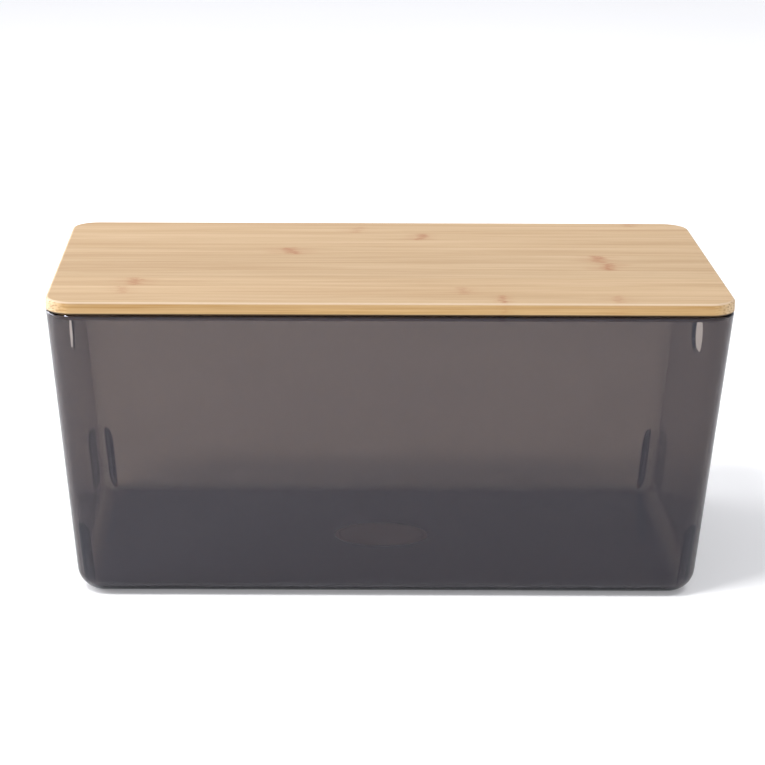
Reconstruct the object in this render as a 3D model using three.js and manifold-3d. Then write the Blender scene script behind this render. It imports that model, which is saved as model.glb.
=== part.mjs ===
// Bread bin: a moulded translucent box under a lift-off bamboo board.
// Millimetres, +Z up. The origin is the centre of the base, on the surface the bin stands on.
// +X runs along the long side and the front of the bin faces -Y.
import * as THREE from "three";
import { mergeVertices } from "three/addons/utils/BufferGeometryUtils.js";
import Module from "manifold-3d";

// Moulded box
const RIM_WIDTH = 340;
const RIM_DEPTH = 180;
const BOX_HEIGHT = 148;
const END_TAPER = 13.5; // how far each end wall leans out from base to rim
const SIDE_TAPER = 5; // the same for the front and back walls
const CORNER_RADIUS = 14;
const BASE_EDGE_RADIUS = 11;
const FLOOR_EDGE_RADIUS = 7.5; // inside, where the floor turns up into the walls
const WALL = 2.2;
const FLOOR = 3;

// Oval finger hole in each end wall, with straight upper and lower edges
const HOLE_WIDTH = 31.5;
const HOLE_HEIGHT = 18.5;
const HOLE_CENTRE = 115.5; // above the base

// Upright fin in each inner corner, which keeps nested boxes from jamming
const FIN_THICKNESS = 2.4;
const FIN_REACH = 4.2; // from the corner's inner face towards the middle of the box
const FIN_HEIGHT = 34.5; // above the inner floor
const FIN_SHOULDER = 9; // how far the inner edge of the fin's top rounds off

// Oval label stuck on the inner floor
const LABEL_WIDTH = 50;
const LABEL_DEPTH = 36;
const LABEL_THICKNESS = 0.3;

// Lid board: edge-glued bamboo strips running along X, rebated underneath to drop into the box
const LID_EDGE = 6.5; // thickness that shows above the rim
const PLUG_DEPTH = 3.5;
const PLUG_CLEARANCE = 1.7; // all round, between the plug and the inner wall at the rim
const LID_ARRIS = 1.5; // round-over of the upper and lower outer edges
const LID_SEAT_GAP = 0.3;
const STRIP_PITCH = 17;
const GLUE_LINE = 0.1;

const CORNER_SEGMENTS = 10;
const BASE_EDGE_SEGMENTS = 7;
const ARRIS_SEGMENTS = 3;
const LABEL_SEGMENTS = 48;
const OVERSHOOT = 5; // how far cutting tools run past the material

const wasm = await Module();
wasm.setup();

const finishes = {
  smoke_plastic: { color: 0x5d575a, roughness: 0.12, metalness: 0, transparent: true, opacity: 0.6 },
  label_film: { color: 0xe6dedb, roughness: 0.5, metalness: 0 },
  bamboo: { color: 0xd9b483, roughness: 0.5, metalness: 0 },
};

// A closed three.js geometry as a manifold-3d solid, for joining and cutting.
function solid(geometry) {
  const bare = geometry.index ? geometry.toNonIndexed() : geometry.clone();
  bare.deleteAttribute("normal");
  bare.deleteAttribute("uv");
  const merged = mergeVertices(bare, 1e-4);
  return new wasm.Manifold(
    new wasm.Mesh({
      numProp: 3,
      vertProperties: merged.getAttribute("position").array,
      triVerts: new Uint32Array(merged.index.array),
    }),
  );
}

// A manifold-3d solid as a named mesh with its own material.
function meshOf(name, shape, finish) {
  const { vertProperties, triVerts } = shape.getMesh();
  const geometry = new THREE.BufferGeometry();
  geometry.setAttribute("position", new THREE.BufferAttribute(vertProperties, 3));
  geometry.setIndex(new THREE.BufferAttribute(triVerts, 1));
  geometry.computeVertexNormals();
  const mesh = new THREE.Mesh(geometry, new THREE.MeshStandardMaterial(finishes[finish]));
  mesh.name = name;
  return mesh;
}

// A rectangle with round corners, centred on the origin.
function roundedRectangle(width, depth, radius) {
  const x = width / 2 - radius;
  const y = depth / 2 - radius;
  const outline = new THREE.Shape();
  outline.absarc(x, y, radius, 0, Math.PI / 2);
  outline.absarc(-x, y, radius, Math.PI / 2, Math.PI);
  outline.absarc(-x, -y, radius, Math.PI, 1.5 * Math.PI);
  outline.absarc(x, -y, radius, 1.5 * Math.PI, 2 * Math.PI);
  return outline;
}

// An upright slab with a rounded-rectangle outline and both its edges rounded, from z = bottom to top.
function slab(width, depth, radius, bottom, top, edgeRadius, edgeSegments) {
  const inset = 2 * edgeRadius;
  const outline = roundedRectangle(width - inset, depth - inset, radius - edgeRadius);
  const geometry = new THREE.ExtrudeGeometry(outline, {
    depth: top - bottom - inset,
    curveSegments: CORNER_SEGMENTS,
    bevelThickness: edgeRadius,
    bevelSize: edgeRadius,
    bevelSegments: edgeSegments,
  });
  return geometry.translate(0, 0, bottom + edgeRadius);
}

function block(width, depth, height, x, y, z) {
  return solid(new THREE.BoxGeometry(width, depth, height).translate(x, y, z));
}

// Leans the four walls of a geometry out by the box's taper, from nothing at z = 0.
function taper(geometry) {
  const position = geometry.getAttribute("position");
  for (let i = 0; i < position.count; i++) {
    const rise = position.getZ(i) / BOX_HEIGHT;
    position.setX(i, position.getX(i) + Math.sign(position.getX(i)) * END_TAPER * rise);
    position.setY(i, position.getY(i) + Math.sign(position.getY(i)) * SIDE_TAPER * rise);
  }
  return geometry;
}

// The box's outline at the base, inset from the outer face and rising past the rim, as a solid.
function taperedBlock(inset, bottom, edgeRadius) {
  return solid(
    taper(
      slab(
        RIM_WIDTH - 2 * END_TAPER - 2 * inset,
        RIM_DEPTH - 2 * SIDE_TAPER - 2 * inset,
        CORNER_RADIUS - inset,
        bottom,
        BOX_HEIGHT + BASE_EDGE_RADIUS + OVERSHOOT,
        edgeRadius,
        BASE_EDGE_SEGMENTS,
      ),
    ),
  );
}

// One fin, standing on the diagonal of the corner on side (sideX, sideY) and leaning with it.
function cornerFin(sideX, sideY) {
  const innerRadius = CORNER_RADIUS - WALL;
  const tip = innerRadius - FIN_REACH;
  const root = innerRadius + WALL / 2;
  const top = FLOOR + FIN_HEIGHT;
  const profile = new THREE.Shape();
  profile.moveTo(root, FLOOR / 2);
  profile.lineTo(root, top);
  profile.lineTo(innerRadius, top);
  profile.quadraticCurveTo(tip, top, tip, top - FIN_SHOULDER);
  profile.lineTo(tip, FLOOR / 2);
  profile.closePath();
  const geometry = new THREE.ExtrudeGeometry(profile, {
    depth: FIN_THICKNESS,
    curveSegments: BASE_EDGE_SEGMENTS,
    bevelEnabled: false,
  });
  const x = RIM_WIDTH / 2 - END_TAPER - CORNER_RADIUS;
  const y = RIM_DEPTH / 2 - SIDE_TAPER - CORNER_RADIUS;
  geometry.translate(0, 0, -FIN_THICKNESS / 2);
  geometry.rotateX(Math.PI / 2);
  geometry.rotateZ(Math.atan2(sideY, sideX));
  geometry.translate(sideX * x, sideY * y, 0);
  return solid(taper(geometry));
}

// An oval bar along X, right through both end walls.
function holeCutter() {
  const oval = roundedRectangle(HOLE_WIDTH, HOLE_HEIGHT, HOLE_HEIGHT / 2);
  const bar = new THREE.ExtrudeGeometry(oval, {
    depth: 2 * RIM_WIDTH,
    curveSegments: CORNER_SEGMENTS,
    bevelEnabled: false,
  });
  bar.translate(0, 0, -RIM_WIDTH);
  bar.rotateX(Math.PI / 2);
  bar.rotateZ(Math.PI / 2);
  return solid(bar.translate(0, 0, HOLE_CENTRE));
}

function binBody() {
  let cavity = taperedBlock(WALL, FLOOR, FLOOR_EDGE_RADIUS);
  for (const sideX of [-1, 1]) {
    for (const sideY of [-1, 1]) {
      cavity = cavity.subtract(cornerFin(sideX, sideY));
    }
  }
  const trim = 4 * BASE_EDGE_RADIUS;
  const aboveRim = block(2 * RIM_WIDTH, 2 * RIM_DEPTH, trim, 0, 0, BOX_HEIGHT + trim / 2);
  const shape = taperedBlock(0, 0, BASE_EDGE_RADIUS).subtract(cavity).subtract(aboveRim);
  return meshOf("bin_body", shape.subtract(holeCutter()), "smoke_plastic");
}

function floorLabel() {
  const oval = new THREE.CylinderGeometry(
    LABEL_WIDTH / 2,
    LABEL_WIDTH / 2,
    LABEL_THICKNESS,
    LABEL_SEGMENTS,
  );
  oval.rotateX(Math.PI / 2);
  oval.scale(1, LABEL_DEPTH / LABEL_WIDTH, 1);
  oval.translate(0, 0, FLOOR + LABEL_THICKNESS / 2);
  return meshOf("floor_label", solid(oval), "label_film");
}

// The whole lid board, before it is divided into strips.
function lidBoard() {
  const underside = BOX_HEIGHT + LID_SEAT_GAP;
  const plugInset = WALL + PLUG_CLEARANCE;
  const board = solid(
    slab(
      RIM_WIDTH,
      RIM_DEPTH,
      CORNER_RADIUS,
      underside,
      underside + LID_EDGE,
      LID_ARRIS,
      ARRIS_SEGMENTS,
    ),
  );
  const plug = new THREE.ExtrudeGeometry(
    roundedRectangle(RIM_WIDTH - 2 * plugInset, RIM_DEPTH - 2 * plugInset, CORNER_RADIUS - plugInset),
    { depth: PLUG_DEPTH + LID_EDGE / 2, curveSegments: CORNER_SEGMENTS, bevelEnabled: false },
  );
  return board.add(solid(plug.translate(0, 0, underside - PLUG_DEPTH)));
}

// The strips, numbered from the front. The last one is what the board's depth leaves.
function lidStrips() {
  const board = lidBoard();
  const lid = new THREE.Group();
  const count = Math.ceil(RIM_DEPTH / STRIP_PITCH);
  for (let i = 0; i < count; i++) {
    const start = i * STRIP_PITCH - RIM_DEPTH / 2;
    const width = (i === count - 1 ? RIM_DEPTH / 2 - start : STRIP_PITCH) - GLUE_LINE;
    const slot = block(2 * RIM_WIDTH, width, 2 * BOX_HEIGHT, 0, start + (width + GLUE_LINE) / 2, BOX_HEIGHT);
    const name = "lid_strip_" + String(i + 1).padStart(2, "0");
    lid.add(meshOf(name, board.intersect(slot), "bamboo"));
  }
  return lid;
}

const breadBin = new THREE.Group();
breadBin.add(binBody(), floorLabel(), lidStrips());

export default breadBin;
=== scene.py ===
"""A bread bin: a smoky translucent box with a bamboo board for a lid. Metres, +Z up, front towards -Y."""

import math

import bmesh
import bpy
from mathutils import Matrix, Vector


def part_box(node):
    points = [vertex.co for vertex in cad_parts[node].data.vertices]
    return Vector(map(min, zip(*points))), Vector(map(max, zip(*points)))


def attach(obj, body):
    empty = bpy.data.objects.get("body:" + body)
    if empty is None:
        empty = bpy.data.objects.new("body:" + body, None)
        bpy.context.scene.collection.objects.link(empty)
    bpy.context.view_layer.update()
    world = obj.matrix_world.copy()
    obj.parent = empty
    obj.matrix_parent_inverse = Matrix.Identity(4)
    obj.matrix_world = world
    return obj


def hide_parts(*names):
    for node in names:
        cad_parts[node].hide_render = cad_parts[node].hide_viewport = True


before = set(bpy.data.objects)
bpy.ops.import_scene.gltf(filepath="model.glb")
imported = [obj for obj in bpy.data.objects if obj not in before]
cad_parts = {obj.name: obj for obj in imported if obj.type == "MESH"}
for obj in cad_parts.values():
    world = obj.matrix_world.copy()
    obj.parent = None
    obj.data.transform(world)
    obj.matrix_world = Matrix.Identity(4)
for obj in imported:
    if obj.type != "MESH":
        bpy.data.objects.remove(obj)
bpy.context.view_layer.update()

MM = 0.001
MERGE_DISTANCE = 0.005 * MM

BODY_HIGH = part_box("bin_body")[1]
LID_LOW, LID_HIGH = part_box("lid_strip_01")
LABEL_LOW, LABEL_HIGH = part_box("floor_label")

# Moulded box
HALF_WIDTH = BODY_HIGH.x
HALF_DEPTH = BODY_HIGH.y
RIM_Z = BODY_HIGH.z
END_TAPER = 13.5 * MM
SIDE_TAPER = 5 * MM
CORNER_RADIUS = 14 * MM
BASE_EDGE_RADIUS = 11 * MM
FLOOR_EDGE_RADIUS = 7.5 * MM
CORE_EDGE_RADIUS = 9 * MM  # halfway through the wall, where the fins' roots end
WALL = 2.2 * MM
FLOOR = 3 * MM
RIM_RADIUS = WALL / 2
CORNER_STEPS = 20
FILLET_STEPS = 12
RIM_STEPS = 10

# Finger holes: ovals with straight top and bottom edges
HOLE_HALF_WIDTH = 15.75 * MM
HOLE_RADIUS = 9.25 * MM
HOLE_Z = 115.5 * MM
HOLE_EDGE_RADIUS = 0.35 * MM
HOLE_STEPS = 64
HOLE_EDGE_STEPS = 6

# Inner corner fins
FIN_THICKNESS = 2.4 * MM
FIN_REACH = 4.2 * MM
FIN_TOP = 37.5 * MM
FIN_SHOULDER = 9 * MM
FIN_EDGE_RADIUS = 0.5 * MM
FIN_EDGE_STEPS = 3

# Lid board
LID_TOP = LID_HIGH.z
LID_SEAT_GAP = 0.3 * MM
LID_UNDERSIDE = RIM_Z + LID_SEAT_GAP
PLUG_CLEARANCE = 1.7 * MM
PLUG_INSET = WALL + PLUG_CLEARANCE
PLUG_EDGE = 0.4 * MM
TOP_ARRIS = 1.5 * MM
BOTTOM_ARRIS = 0.9 * MM
ARRIS_STEPS = 8
STRIP_PITCH = 17 * MM
STRIP_GAP = 0.03 * MM

# Plastic
PLASTIC_TINT = (0.42, 0.352, 0.295, 1)
PLASTIC_DENSITY = 1000  # per metre: a colour is absorbed at this times one minus its tint
# painted light: tints the plastic's reflections blue, standing in for light cooler than the lamps give
PAINTED_COOL_REFLECTION_TINT = (0.93, 0.95, 1.16, 1)

# Bamboo, before each strip's own tone
BAMBOO_LIGHT = (0.558, 0.392, 0.222)
BAMBOO_DARK = (0.452, 0.290, 0.142)
NODE_BROWN = (0.36, 0.15, 0.055, 1)
GLUE_BROWN = (0.38, 0.23, 0.10, 1)
# painted highlight along the lid's top arris
PAINTED_ARRIS_HIGHLIGHT = (0.77, 0.62, 0.47, 1)
GROWTH_LINE_BROWN = (0.42, 0.24, 0.09, 1)
# painted shadow along the lid's lower edge
SHADOW_BROWN = (0.03, 0.015, 0.006, 1)
GROWTH_LINE_DEPTH = 2.4 * MM  # below the top face


# ---------------------------------------------------------------- mesh helpers


def new_object(name, mesh_data):
    piece = bpy.data.objects.new(name, mesh_data)
    bpy.context.scene.collection.objects.link(piece)
    return piece


def object_from(name, verts, faces):
    data = bpy.data.meshes.new(name)
    data.from_pydata(verts, [], faces)
    data.validate()
    return new_object(name, data)


def rounded_outline(half_x, half_y, radius, z):
    """Points of a rectangle with round corners, anticlockwise, the same number at any size."""
    points = []
    for index, (side_x, side_y) in enumerate(((1, 1), (-1, 1), (-1, -1), (1, -1))):
        for step in range(CORNER_STEPS + 1):
            angle = (index + step / CORNER_STEPS) * math.pi / 2
            x = side_x * (half_x - radius) + radius * math.cos(angle)
            y = side_y * (half_y - radius) + radius * math.sin(angle)
            points.append((x, y, z))
    return points


def loft(name, rings):
    """A closed skin through rings of equal length, with a flat face on the first and the last."""
    count = len(rings[0])
    verts = [point for ring in rings for point in ring]
    faces = [list(range(count))[::-1]]
    for level in range(len(rings) - 1):
        for i in range(count):
            j = (i + 1) % count
            low, high = level * count, (level + 1) * count
            faces.append([low + i, low + j, high + j, high + i])
    faces.append([(len(rings) - 1) * count + i for i in range(count)])
    return object_from(name, verts, faces)


def combine(target, tool, operation):
    """Joins or cuts target with tool, and removes tool."""
    modifier = target.modifiers.new("combine", "BOOLEAN")
    modifier.operation = operation
    modifier.solver = "EXACT"
    modifier.object = tool
    apply_modifiers(target)
    bpy.data.objects.remove(tool)


def apply_modifiers(target):
    """Makes what target's modifiers do part of its mesh."""
    graph = bpy.context.evaluated_depsgraph_get()
    evaluated = target.evaluated_get(graph)
    data = bpy.data.meshes.new_from_object(evaluated, depsgraph=graph)
    target.modifiers.clear()
    target.data = data


def smooth(target, degrees=32):
    """Smooth shading that keeps flat faces flat and edges sharper than degrees crisp."""
    for polygon in target.data.polygons:
        polygon.use_smooth = True
    target.data.set_sharp_from_angle(angle=math.radians(degrees))
    modifier = target.modifiers.new("flat faces win", "WEIGHTED_NORMAL")
    modifier.mode = "FACE_AREA"
    modifier.keep_sharp = True
    apply_modifiers(target)


def clean(target):
    """Joins points that coincide, drops slivers and turns every face outwards."""
    mesh = bmesh.new()
    mesh.from_mesh(target.data)
    bmesh.ops.remove_doubles(mesh, verts=mesh.verts, dist=MERGE_DISTANCE)
    bmesh.ops.dissolve_degenerate(mesh, edges=mesh.edges, dist=MERGE_DISTANCE)
    bmesh.ops.recalc_face_normals(mesh, faces=mesh.faces)
    mesh.to_mesh(target.data)
    mesh.free()


# ---------------------------------------------------------------- node helpers


class Graph:
    """A material's node tree, with short ways to add and join nodes."""

    def __init__(self, name):
        self.material = bpy.data.materials.new(name)
        self.material.use_nodes = True
        self.tree = self.material.node_tree
        self.tree.nodes.clear()
        self.output = self.tree.nodes.new("ShaderNodeOutputMaterial")
        self.shader = self.tree.nodes.new("ShaderNodeBsdfPrincipled")
        self.link(self.shader.outputs[0], self.output.inputs["Surface"])
        self.position = self.tree.nodes.new("ShaderNodeTexCoord").outputs["Object"]

    def link(self, source, target):
        self.tree.links.new(source, target)

    def fill(self, socket, value):
        """Links value to socket if it is a socket too, and sets it there if it is a number."""
        if isinstance(value, bpy.types.NodeSocket):
            self.link(value, socket)
        else:
            socket.default_value = value

    def math(self, operation, a, b=0.0, clamp=False):
        node = self.tree.nodes.new("ShaderNodeMath")
        node.operation = operation
        node.use_clamp = clamp
        self.fill(node.inputs[0], a)
        self.fill(node.inputs[1], b)
        return node.outputs[0]

    def away(self, a, b):
        """How far apart a and b are."""
        return self.math("ABSOLUTE", self.math("SUBTRACT", a, b))

    def scaled(self, scale, offset=(0, 0, 0)):
        """The place on the piece, stretched for a texture: a bigger scale gives finer detail."""
        node = self.tree.nodes.new("ShaderNodeMapping")
        self.link(self.position, node.inputs["Vector"])
        node.inputs["Scale"].default_value = scale
        node.inputs["Location"].default_value = offset
        return node.outputs[0]

    def noise(self, vector, detail, roughness=0.5):
        node = self.tree.nodes.new("ShaderNodeTexNoise")
        node.inputs["Scale"].default_value = 1.0
        node.inputs["Detail"].default_value = detail
        node.inputs["Roughness"].default_value = roughness
        self.link(vector, node.inputs["Vector"])
        return node.outputs["Fac"]

    def ramp(self, value, stops):
        """stops are (position, colour or grey) pairs."""
        node = self.tree.nodes.new("ShaderNodeValToRGB")
        elements = node.color_ramp.elements
        while len(elements) < len(stops):
            elements.new(0.5)
        for element, (position, colour) in zip(elements, stops):
            element.position = position
            element.color = (*colour, 1) if isinstance(colour, tuple) else (colour, colour, colour, 1)
        self.link(value, node.inputs["Fac"])
        return node.outputs["Color"]

    def spread(self, value, low, high, new_low, new_high):
        """value from low to high, carried to new_low to new_high and held there beyond."""
        node = self.tree.nodes.new("ShaderNodeMapRange")
        self.fill(node.inputs["Value"], value)
        node.inputs["From Min"].default_value = low
        node.inputs["From Max"].default_value = high
        node.inputs["To Min"].default_value = new_low
        node.inputs["To Max"].default_value = new_high
        return node.outputs["Result"]

    def blend(self, share, a, b, mode="MIX"):
        node = self.tree.nodes.new("ShaderNodeMix")
        node.data_type = "RGBA"
        node.blend_type = mode
        self.fill(node.inputs["Factor"], share)
        self.fill(node.inputs["A"], a)
        self.fill(node.inputs["B"], b)
        return node.outputs["Result"]

    def bump(self, height, strength, distance):
        node = self.tree.nodes.new("ShaderNodeBump")
        node.inputs["Strength"].default_value = strength
        node.inputs["Distance"].default_value = distance
        self.link(height, node.inputs["Height"])
        self.link(node.outputs["Normal"], self.shader.inputs["Normal"])


# ---------------------------------------------------------------- materials


def smoke_plastic():
    """Clear grey-brown plastic: its own thickness darkens it, and its skin is very slightly uneven."""
    g = Graph("smoke_plastic")
    absorb = g.tree.nodes.new("ShaderNodeVolumeAbsorption")
    absorb.inputs["Color"].default_value = PLASTIC_TINT
    absorb.inputs["Density"].default_value = PLASTIC_DENSITY
    g.link(absorb.outputs[0], g.output.inputs["Volume"])
    flow = g.noise(g.scaled((9, 9, 26)), detail=3)
    haze = g.noise(g.scaled((240, 240, 240)), detail=4)
    tint = g.ramp(flow, [(0.3, (0.95, 0.95, 0.96)), (0.7, (1.0, 1.0, 1.0))])
    g.link(tint, g.shader.inputs["Base Color"])
    g.link(g.spread(haze, 0.3, 0.7, 0.004, 0.012), g.shader.inputs["Roughness"])
    g.shader.inputs["Transmission Weight"].default_value = 1.0
    g.shader.inputs["IOR"].default_value = 1.5
    # painted light: reflections tinted blue, standing in for cooler light
    g.shader.inputs["Specular Tint"].default_value = PAINTED_COOL_REFLECTION_TINT
    g.bump(flow, 0.006, 1 * MM)
    return g.material


def label_film():
    """A satin film oval: a plain border line and faint mottling, with nothing printed inside."""
    border_place = 0.9  # as a share of the way from the middle to the edge
    g = Graph("label_film")
    mottle = g.noise(g.scaled((900, 900, 900)), detail=4)
    cloud = g.noise(g.scaled((60, 60, 60)), detail=3)
    paper = g.ramp(cloud, [(0.3, (0.94, 0.86, 0.80)), (0.7, (0.98, 0.91, 0.86))])
    split = g.tree.nodes.new("ShaderNodeSeparateXYZ")
    g.link(g.position, split.inputs[0])
    across = g.math("DIVIDE", split.outputs["X"], LABEL_HIGH.x)
    along = g.math("DIVIDE", split.outputs["Y"], LABEL_HIGH.y)
    radius = g.math("SQRT", g.math("ADD", g.math("POWER", across, 2), g.math("POWER", along, 2)))
    line = g.spread(g.away(radius, border_place), 0.01, 0.025, 1, 0)
    colour = g.blend(g.math("MULTIPLY", line, 0.5, clamp=True), paper, (0.5, 0.46, 0.44, 1))
    g.link(colour, g.shader.inputs["Base Color"])
    g.link(g.spread(mottle, 0.3, 0.7, 0.4, 0.55), g.shader.inputs["Roughness"])
    g.bump(mottle, 0.15, 0.05 * MM)
    return g.material


def fibres(g, offset):
    """Streaks that run the length of a strip: broad tone, fine fibre, and short dark vessels."""
    broad = g.noise(g.scaled((5, 130, 130), offset), detail=3, roughness=0.55)
    fine = g.noise(g.scaled((14, 1500, 1500), offset), detail=4, roughness=0.6)
    dashes = g.noise(g.scaled((55, 3200, 3200), offset), detail=2)
    return broad, fine, dashes


def knot_marks(g, along, edge, knots, offset):
    """How brown the strip's nodes are here, 0 away from them. knots are (place, strength, half length)."""
    wander = g.noise(g.scaled((0, 150, 150), offset), detail=3)
    shift_range = 12 * MM
    shift = g.math("MULTIPLY", g.math("SUBTRACT", wander, 0.5), shift_range)
    long_streaks = g.spread(g.noise(g.scaled((70, 800, 800), offset), detail=3), 0.4, 0.62, 0.0, 1)
    short_streaks = g.spread(g.noise(g.scaled((260, 700, 700), offset), detail=3), 0.36, 0.56, 0.2, 1)
    inside = g.spread(edge, 0, 2.5 * MM, 0.25, 1)
    total = None
    for place, strength, length in knots:
        away = g.math("ABSOLUTE", g.math("ADD", g.math("SUBTRACT", along, place), shift))
        reach = g.math("DIVIDE", away, length)
        halo = g.math("MULTIPLY", g.spread(reach, 0.2, 2.8, 0.55, 0), long_streaks)
        core = g.math("MULTIPLY", g.spread(reach, 0.2, 1.1, 1, 0), short_streaks)
        mark = g.math("MULTIPLY", g.math("MAXIMUM", halo, core), strength)
        total = mark if total is None else g.math("MAXIMUM", total, mark)
    return g.math("MULTIPLY", total, inside, clamp=True)


def bamboo_edges(g, colour, height, offset):
    """The board's rim: a painted highlight on the top arris, yellower streaked sides that are also lifted
    brighter as painted light, a painted shadow along the lower edge, and pored end grain.
    """
    geometry = g.tree.nodes.new("ShaderNodeNewGeometry")
    facing = g.tree.nodes.new("ShaderNodeSeparateXYZ")
    g.link(geometry.outputs["Normal"], facing.inputs[0])
    upward = facing.outputs["Z"]

    side_share = g.spread(g.math("ABSOLUTE", upward), 0.15, 0.6, 1, 0)
    streaks = g.noise(g.scaled((9, 500, 700), offset), detail=4, roughness=0.6)
    # the streaks are grain; stops above 1 also lift the sides brighter than the top, which is painted light
    side_grain_and_lift_stops = [(0.34, (1.00, 0.86, 0.55)), (0.5, (1.18, 1.15, 0.99)), (0.66, (1.29, 1.28, 1.20))]
    side_grain_and_painted_light = g.ramp(streaks, side_grain_and_lift_stops)
    colour = g.blend(side_share, colour, side_grain_and_painted_light, "MULTIPLY")
    growth_line = g.spread(g.away(height, LID_TOP - GROWTH_LINE_DEPTH), 0, 0.6 * MM, 0.4, 0)
    colour = g.blend(g.math("MULTIPLY", growth_line, side_share), colour, GROWTH_LINE_BROWN)

    # painted highlight: the top arris, where the board turns from its front to its top, is lightened
    arris_highlight_share = g.math("MULTIPLY", g.spread(upward, 0.25, 0.6, 0, 0.6), g.spread(upward, 0.9, 0.995, 1, 0))
    colour = g.blend(arris_highlight_share, colour, PAINTED_ARRIS_HIGHLIGHT)

    end_share = g.spread(g.math("ABSOLUTE", facing.outputs["X"]), 0.3, 0.7, 0, 0.85)
    pores = g.tree.nodes.new("ShaderNodeTexVoronoi")
    pores.inputs["Scale"].default_value = 1000
    g.link(g.scaled((0.3, 1, 1), offset), pores.inputs["Vector"])
    grain = g.ramp(pores.outputs["Distance"], [(0.22, (0.30, 0.15, 0.06)), (0.5, (0.70, 0.52, 0.31))])
    colour = g.blend(end_share, colour, grain)

    # painted shadow: within about a millimetre of the lid's underside, the lower arris and the top of the
    # plug are darkened almost to black
    painted_shadow_lower_edge = g.spread(g.away(height, LID_UNDERSIDE), 0.5 * MM, 1 * MM, 0.92, 0)
    return g.blend(painted_shadow_lower_edge, colour, SHADOW_BROWN)


def bamboo(name, tone, knots, middle, half_width, seed):
    """Pale bamboo for the strip whose middle is at middle across the lid, with its own grain and nodes."""
    g = Graph(name)
    offset = (seed * 1.7, seed * 3.1, seed * 5.3)
    split = g.tree.nodes.new("ShaderNodeSeparateXYZ")
    g.link(g.position, split.inputs[0])
    along = split.outputs["X"]
    across = g.math("SUBTRACT", split.outputs["Y"], middle)
    edge = g.math("SUBTRACT", half_width, g.math("ABSOLUTE", across))
    broad, fine, dashes = fibres(g, offset)

    light = tuple(tone * c for c in BAMBOO_LIGHT)
    dark = tuple(tone * c for c in BAMBOO_DARK)
    colour = g.ramp(broad, [(0.3, dark), (0.68, light)])
    fine_shade = g.ramp(fine, [(0.3, (0.86, 0.82, 0.76)), (0.62, (1.03, 1.03, 1.03))])
    colour = g.blend(1.0, colour, fine_shade, "MULTIPLY")
    vessel = g.ramp(dashes, [(0.27, (0.72, 0.6, 0.48)), (0.36, (1.0, 1.0, 1.0))])
    colour = g.blend(0.55, colour, vessel, "MULTIPLY")

    glue = g.spread(edge, 0.0, 0.5 * MM, 0.35, 0.0)
    colour = g.blend(glue, colour, GLUE_BROWN)
    height = fine
    if knots:
        marks = knot_marks(g, along, edge, knots, offset)
        colour = g.blend(marks, colour, NODE_BROWN)
        height = g.math("SUBTRACT", fine, g.math("MULTIPLY", marks, 0.5))
    colour = bamboo_edges(g, colour, split.outputs["Z"], offset)

    g.link(colour, g.shader.inputs["Base Color"])
    g.link(g.spread(fine, 0.3, 0.7, 0.56, 0.44), g.shader.inputs["Roughness"])
    g.shader.inputs["Specular IOR Level"].default_value = 0.3
    g.bump(height, 0.25, 0.12 * MM)
    return g.material


# ---------------------------------------------------------------- the box


def wall_ring(inset, z):
    """The box's outline at height z, set in from its outer face."""
    rise = z / RIM_Z
    half_x = HALF_WIDTH - END_TAPER * (1 - rise) - inset
    half_y = HALF_DEPTH - SIDE_TAPER * (1 - rise) - inset
    return rounded_outline(half_x, half_y, CORNER_RADIUS - inset, z)


def fillet_rings(inset, bottom, radius):
    """From the flat of a floor out and up to the wall, round an edge of that radius."""
    rings = []
    for step in range(FILLET_STEPS + 1):
        angle = step / FILLET_STEPS * math.pi / 2
        inward = radius * (1 - math.sin(angle))
        upward = radius * (1 - math.cos(angle))
        rings.append(wall_ring(inset + inward, bottom + upward))
    return rings


def box_shell():
    """The whole shell in one skin: underside, outer wall, rounded rim, inner wall and floor."""
    rings = fillet_rings(0, 0, BASE_EDGE_RADIUS)
    for step in range(RIM_STEPS + 1):
        angle = step / RIM_STEPS * math.pi
        inset = RIM_RADIUS * (1 - math.cos(angle))
        rings.append(wall_ring(inset, RIM_Z - RIM_RADIUS * (1 - math.sin(angle))))
    rings += fillet_rings(WALL, FLOOR, FLOOR_EDGE_RADIUS)[::-1]
    return loft("bin_shell", rings)


def wall_core():
    """A block that ends halfway through the shell's thickness, to trim the fins' roots with."""
    inset = WALL / 2
    rings = fillet_rings(inset, FLOOR / 2, CORE_EDGE_RADIUS)
    rings.append(wall_ring(inset, RIM_Z / 2))
    return loft("wall_core", rings)


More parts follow.
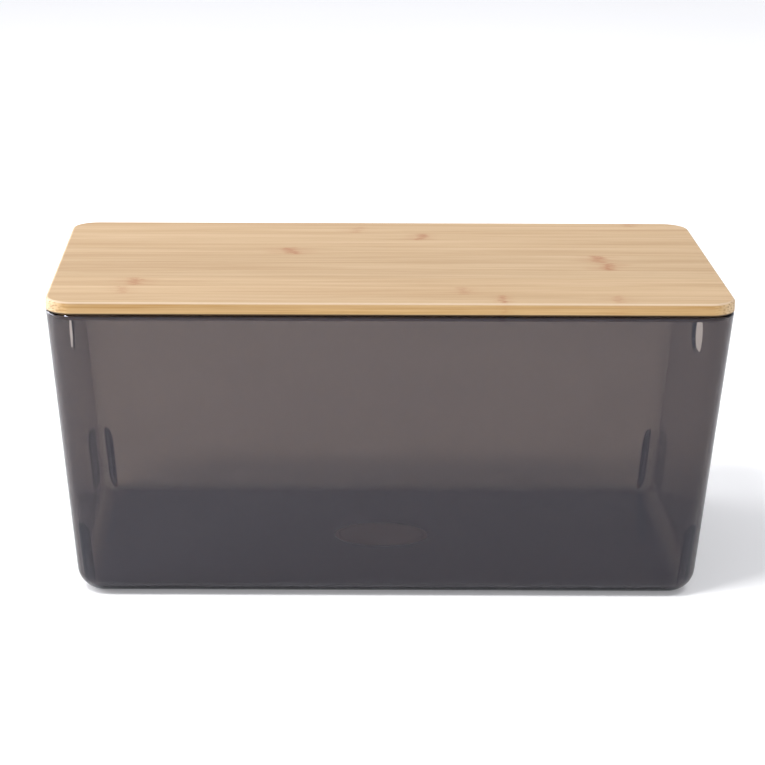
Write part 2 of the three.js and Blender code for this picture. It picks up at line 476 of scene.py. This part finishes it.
def corner_fin(side_x, side_y):
    """A plate on the corner's diagonal, its edges eased, leaning with the walls."""
    inner = CORNER_RADIUS - WALL
    tip = inner - FIN_REACH
    root = inner + WALL
    profile = [(root, FLOOR / 4), (root, FIN_TOP), (inner, FIN_TOP)]
    for step in range(1, FILLET_STEPS + 1):
        t = step / FILLET_STEPS
        along = (1 - t) ** 2 * inner + (2 * t * (1 - t) + t * t) * tip
        height = FIN_TOP - t * t * FIN_SHOULDER
        profile.append((along, height))
    profile.append((tip, FLOOR / 4))
    half = FIN_THICKNESS / 2
    count = len(profile)
    verts = [(r, -half, z) for r, z in profile] + [(r, half, z) for r, z in profile]
    faces = [list(range(count)), [count + i for i in range(count)][::-1]]
    for i in range(count):
        j = (i + 1) % count
        faces.append([j, i, count + i, count + j])
    fin = object_from("fin", verts, faces)
    clean(fin)
    mesh = bmesh.new()
    mesh.from_mesh(fin.data)
    rims = [e for e in mesh.edges if abs(e.verts[0].co.y - e.verts[1].co.y) < 1e-6]
    bmesh.ops.bevel(
        mesh, geom=rims, offset=FIN_EDGE_RADIUS, segments=FIN_EDGE_STEPS, profile=0.5, affect="EDGES"
    )
    turn = Matrix.Rotation(math.atan2(side_y, side_x), 4, "Z")
    centre_x = HALF_WIDTH - END_TAPER - CORNER_RADIUS
    centre_y = HALF_DEPTH - SIDE_TAPER - CORNER_RADIUS
    for vertex in mesh.verts:
        rise = vertex.co.z / RIM_Z
        spot = turn @ vertex.co
        spot.x += side_x * (centre_x + END_TAPER * rise)
        spot.y += side_y * (centre_y + SIDE_TAPER * rise)
        vertex.co = spot
    mesh.to_mesh(fin.data)
    mesh.free()
    return fin


def hole_cutter(side):
    """A spool across one end wall: its waist is the hole, and its flares round the hole's edges.

    Each flare stops short of lying flat along the wall, so that it crosses the face cleanly.
    """
    half = WALL / 2
    past = 6 * MM
    first_angle = math.radians(20)
    widest = HOLE_RADIUS + HOLE_EDGE_RADIUS * (1 - math.sin(first_angle))
    profile = [(-half - past, widest)]
    for end in (-1, 1):
        for step in range(HOLE_EDGE_STEPS + 1):
            share = step / HOLE_EDGE_STEPS
            inward = share if end < 0 else 1 - share
            angle = first_angle + inward * (math.pi / 2 - first_angle)
            reach = end * (half - HOLE_EDGE_RADIUS * (1 - math.cos(angle)))
            radius = HOLE_RADIUS + HOLE_EDGE_RADIUS * (1 - math.sin(angle))
            profile.append((reach, radius))
    profile.append((half + past, widest))
    straight = HOLE_HALF_WIDTH - HOLE_RADIUS
    rings = []
    for reach, radius in profile:
        ring = []
        for step in range(HOLE_STEPS):
            angle = (step + 0.5) / HOLE_STEPS * 2 * math.pi
            shift = math.copysign(straight, math.sin(angle))
            ring.append((radius * math.cos(angle), shift + radius * math.sin(angle), reach))
        rings.append(ring)
    cutter = loft("hole_cutter", rings)
    lean = math.atan2(END_TAPER, RIM_Z)
    middle = HALF_WIDTH - END_TAPER * (1 - HOLE_Z / RIM_Z) - half
    turn = Matrix.Rotation(side * (math.pi / 2 + lean), 4, "Y")
    cutter.data.transform(Matrix.Translation((side * middle, 0, HOLE_Z)) @ turn)
    clean(cutter)
    return cutter


def make_box():
    shell = box_shell()
    clean(shell)
    for side_x in (-1, 1):
        for side_y in (-1, 1):
            fin = corner_fin(side_x, side_y)
            combine(fin, wall_core(), "INTERSECT")
            combine(shell, fin, "UNION")
    for side in (-1, 1):
        combine(shell, hole_cutter(side), "DIFFERENCE")
    clean(shell)
    smooth(shell)
    shell.data.materials.clear()
    shell.data.materials.append(smoke_plastic())
    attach(shell, "bin")
    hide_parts("bin_body")


# ---------------------------------------------------------------- the label


LABEL_STEPS = 96
LABEL_EDGE = ((0.1, 0), (0, 0.3), (0.05, 0.8), (0.3, 1.0))  # inset and lift, in thicknesses


def make_label():
    thickness = LABEL_HIGH.z - LABEL_LOW.z
    rings = []
    for inset, lift in LABEL_EDGE:
        ring = []
        for step in range(LABEL_STEPS):
            angle = step / LABEL_STEPS * 2 * math.pi
            x = (LABEL_HIGH.x - inset * thickness) * math.cos(angle)
            y = (LABEL_HIGH.y - inset * thickness) * math.sin(angle)
            ring.append((x, y, LABEL_LOW.z + lift * thickness))
        rings.append(ring)
    label = loft("oval_label", rings)
    smooth(label)
    label.data.materials.append(label_film())
    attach(label, "bin")
    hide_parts("floor_label")


# ---------------------------------------------------------------- the lid

# Each strip from the front: how light it is, and its nodes as (place along X, strength, half length)
STRIPS = [
    (1.00, [(0.113, 0.5, 4 * MM), (0.056, 0.9, 2.5 * MM)]),
    (1.02, [(0.037, 0.5, 4 * MM), (-0.133, 0.45, 4 * MM)]),
    (1.00, [(-0.127, 0.85, 5 * MM)]),
    (0.95, []),
    (0.96, [(0.115, 1.0, 5 * MM)]),
    (0.96, [(0.112, 1.0, 5 * MM)]),
    (0.98, [(-0.049, 0.95, 6 * MM)]),
    (1.00, []),
    (1.00, [(0.021, 0.9, 4 * MM)]),
    (1.02, [(-0.013, 0.4, 5 * MM)]),
    (1.03, [(0.138, 0.6, 5 * MM)]),
]


def lid_ring(inset, z):
    """The board's outline at height z, set in from its edge."""
    return rounded_outline(HALF_WIDTH - inset, HALF_DEPTH - inset, CORNER_RADIUS - inset, z)


def lid_board():
    """The whole board in one skin, from the plug's underside up to the top face."""
    rings = [
        lid_ring(PLUG_INSET + PLUG_EDGE, LID_LOW.z),
        lid_ring(PLUG_INSET, LID_LOW.z + PLUG_EDGE),
        lid_ring(PLUG_INSET, LID_UNDERSIDE),
    ]
    angles = [step / ARRIS_STEPS * math.pi / 2 for step in range(ARRIS_STEPS + 1)]
    for angle in angles:
        inset = BOTTOM_ARRIS * (1 - math.sin(angle))
        rings.append(lid_ring(inset, LID_UNDERSIDE + BOTTOM_ARRIS * (1 - math.cos(angle))))
    for angle in angles:
        inset = TOP_ARRIS * (1 - math.cos(angle))
        rings.append(lid_ring(inset, LID_TOP - TOP_ARRIS * (1 - math.sin(angle))))
    return loft("lid_board", rings)


def cut_strip(board, name, start, end):
    """The part of the board between two planes across Y, closed where it is cut."""
    mesh = bmesh.new()
    mesh.from_mesh(board.data)
    for y, normal in ((start, -1), (end, 1)):
        everything = mesh.verts[:] + mesh.edges[:] + mesh.faces[:]
        cut = bmesh.ops.bisect_plane(
            mesh, geom=everything, plane_co=(0, y, 0), plane_no=(0, normal, 0), clear_outer=True
        )
        edges = [e for e in cut["geom_cut"] if isinstance(e, bmesh.types.BMEdge)]
        if edges:
            bmesh.ops.contextual_create(mesh, geom=edges)
    bmesh.ops.recalc_face_normals(mesh, faces=mesh.faces)
    data = bpy.data.meshes.new(name)
    mesh.to_mesh(data)
    mesh.free()
    return new_object(name, data)


def make_lid():
    board = lid_board()
    for index, (tone, knots) in enumerate(STRIPS):
        node = f"lid_strip_{index + 1:02d}"
        name = f"bamboo_strip_{index + 1:02d}"
        start = index * STRIP_PITCH - HALF_DEPTH
        end = min(start + STRIP_PITCH, HALF_DEPTH)
        first_edge = start + STRIP_GAP / 2 if index else start - MM
        last_edge = end - STRIP_GAP / 2 if index < len(STRIPS) - 1 else end + MM
        strip = cut_strip(board, name, first_edge, last_edge)
        smooth(strip)
        middle = (start + end) / 2
        half_width = (end - start) / 2
        finish = bamboo(f"bamboo_{index + 1:02d}", tone, knots, middle, half_width, index + 1)
        strip.data.materials.append(finish)
        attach(strip, "lid")
        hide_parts(node)
    bpy.data.objects.remove(board)


# ---------------------------------------------------------------- camera, light and stage

CAMERA_PLACE = (-0.0447, -1.2538, 0.4551)
CAMERA_TURN = -0.0028
CAMERA_PITCH = 0.2848
CAMERA_ROLL = -0.0025
CAMERA_LENS = 115.95
CAMERA_SHIFT = 0.1178  # the picture is the left part of a square-on view


def make_camera():
    data = bpy.data.cameras.new("camera")
    data.lens = CAMERA_LENS
    data.sensor_width = 36
    data.shift_x = CAMERA_SHIFT
    data.clip_end = 50
    camera = new_object("camera", data)
    turn = Matrix.Rotation(-CAMERA_TURN, 4, "Z")
    tilt = Matrix.Rotation(math.pi / 2 - CAMERA_PITCH, 4, "X")
    roll = Matrix.Rotation(-CAMERA_ROLL, 4, "Z")
    camera.matrix_world = Matrix.Translation(CAMERA_PLACE) @ turn @ tilt @ roll
    bpy.context.scene.camera = camera


def make_light(name, place, size, power):
    """A soft rectangular lamp aimed at the middle of the bin's base."""
    data = bpy.data.lights.new(name, "AREA")
    data.shape = "RECTANGLE"
    data.size, data.size_y = size
    data.energy = power
    light = new_object(name, data)
    light.location = place
    light.rotation_euler = (-Vector(place)).to_track_quat("-Z", "Y").to_euler()


WALL_GLOW = 0.9
WALL_GLOW_SLOPE = (-0.55, 0.35, 0)  # brighter to the left and behind, dimmer to the right and in front
CEILING_GLOW = 0.35
CEILING_START = 0.35  # upward part of the direction where the walls begin to turn into the ceiling
CEILING_END = 0.75


def add_backdrop_glow(tree, background):
    """Studio walls that glow unevenly, under a dimmer even ceiling."""
    direction = tree.nodes.new("ShaderNodeTexCoord").outputs["Generated"]
    slope = tree.nodes.new("ShaderNodeVectorMath")
    slope.operation = "DOT_PRODUCT"
    slope.inputs[1].default_value = WALL_GLOW_SLOPE
    tree.links.new(direction, slope.inputs[0])
    walls = tree.nodes.new("ShaderNodeMath")
    walls.operation = "ADD"
    walls.inputs[1].default_value = WALL_GLOW
    tree.links.new(slope.outputs["Value"], walls.inputs[0])
    split = tree.nodes.new("ShaderNodeSeparateXYZ")
    tree.links.new(direction, split.inputs[0])
    ceiling_share = tree.nodes.new("ShaderNodeMapRange")
    ceiling_share.inputs["From Min"].default_value = CEILING_START
    ceiling_share.inputs["From Max"].default_value = CEILING_END
    tree.links.new(split.outputs["Z"], ceiling_share.inputs["Value"])
    strength = tree.nodes.new("ShaderNodeMix")
    strength.inputs["B"].default_value = CEILING_GLOW
    tree.links.new(ceiling_share.outputs[0], strength.inputs["Factor"])
    tree.links.new(walls.outputs[0], strength.inputs["A"])
    tree.links.new(strength.outputs["Result"], background.inputs["Strength"])


def make_world():
    world = bpy.data.worlds.new("studio")
    bpy.context.scene.world = world
    world.use_nodes = True
    background = world.node_tree.nodes["Background"]
    background.inputs["Color"].default_value = (0.97, 0.98, 1.04, 1)
    add_backdrop_glow(world.node_tree, background)


FLOOR_DISC_RADIUS = 12
FLOOR_DISC_STEPS = 96
FLOOR_DROP = 0.3 * MM  # keeps the floor clear of the bin's flat underside


def pale_floor():
    """Matt near-white with faint mottling, and a little light of its own like a light table."""
    g = Graph("pale_floor")
    speck = g.noise(g.scaled((3, 3, 3)), detail=3)
    g.link(g.ramp(speck, [(0.3, 0.91), (0.7, 0.93)]), g.shader.inputs["Base Color"])
    g.shader.inputs["Roughness"].default_value = 0.9
    g.shader.inputs["Emission Color"].default_value = (1.0, 1.0, 1.03, 1)
    g.shader.inputs["Emission Strength"].default_value = 0.2
    return g.material


def make_floor():
    mesh = bmesh.new()
    bmesh.ops.create_circle(mesh, cap_ends=True, radius=FLOOR_DISC_RADIUS, segments=FLOOR_DISC_STEPS)
    data = bpy.data.meshes.new("floor")
    mesh.to_mesh(data)
    mesh.free()
    floor = new_object("floor", data)
    floor.location.z = -FLOOR_DROP
    floor.data.materials.append(pale_floor())


def make_stage():
    bpy.context.scene.view_settings.view_transform = "Standard"
    make_world()
    make_floor()
    make_light("left key", (-1.3, -1.0, 3.2), (0.9, 0.9), 76)
    make_light("right key", (1.3, -1.0, 3.1), (0.9, 0.9), 26)
    make_light("left panel", (-1.1, 0.4, 0.4), (1.2, 0.7), 13)


make_camera()
make_box()
make_label()
make_lid()
make_stage()
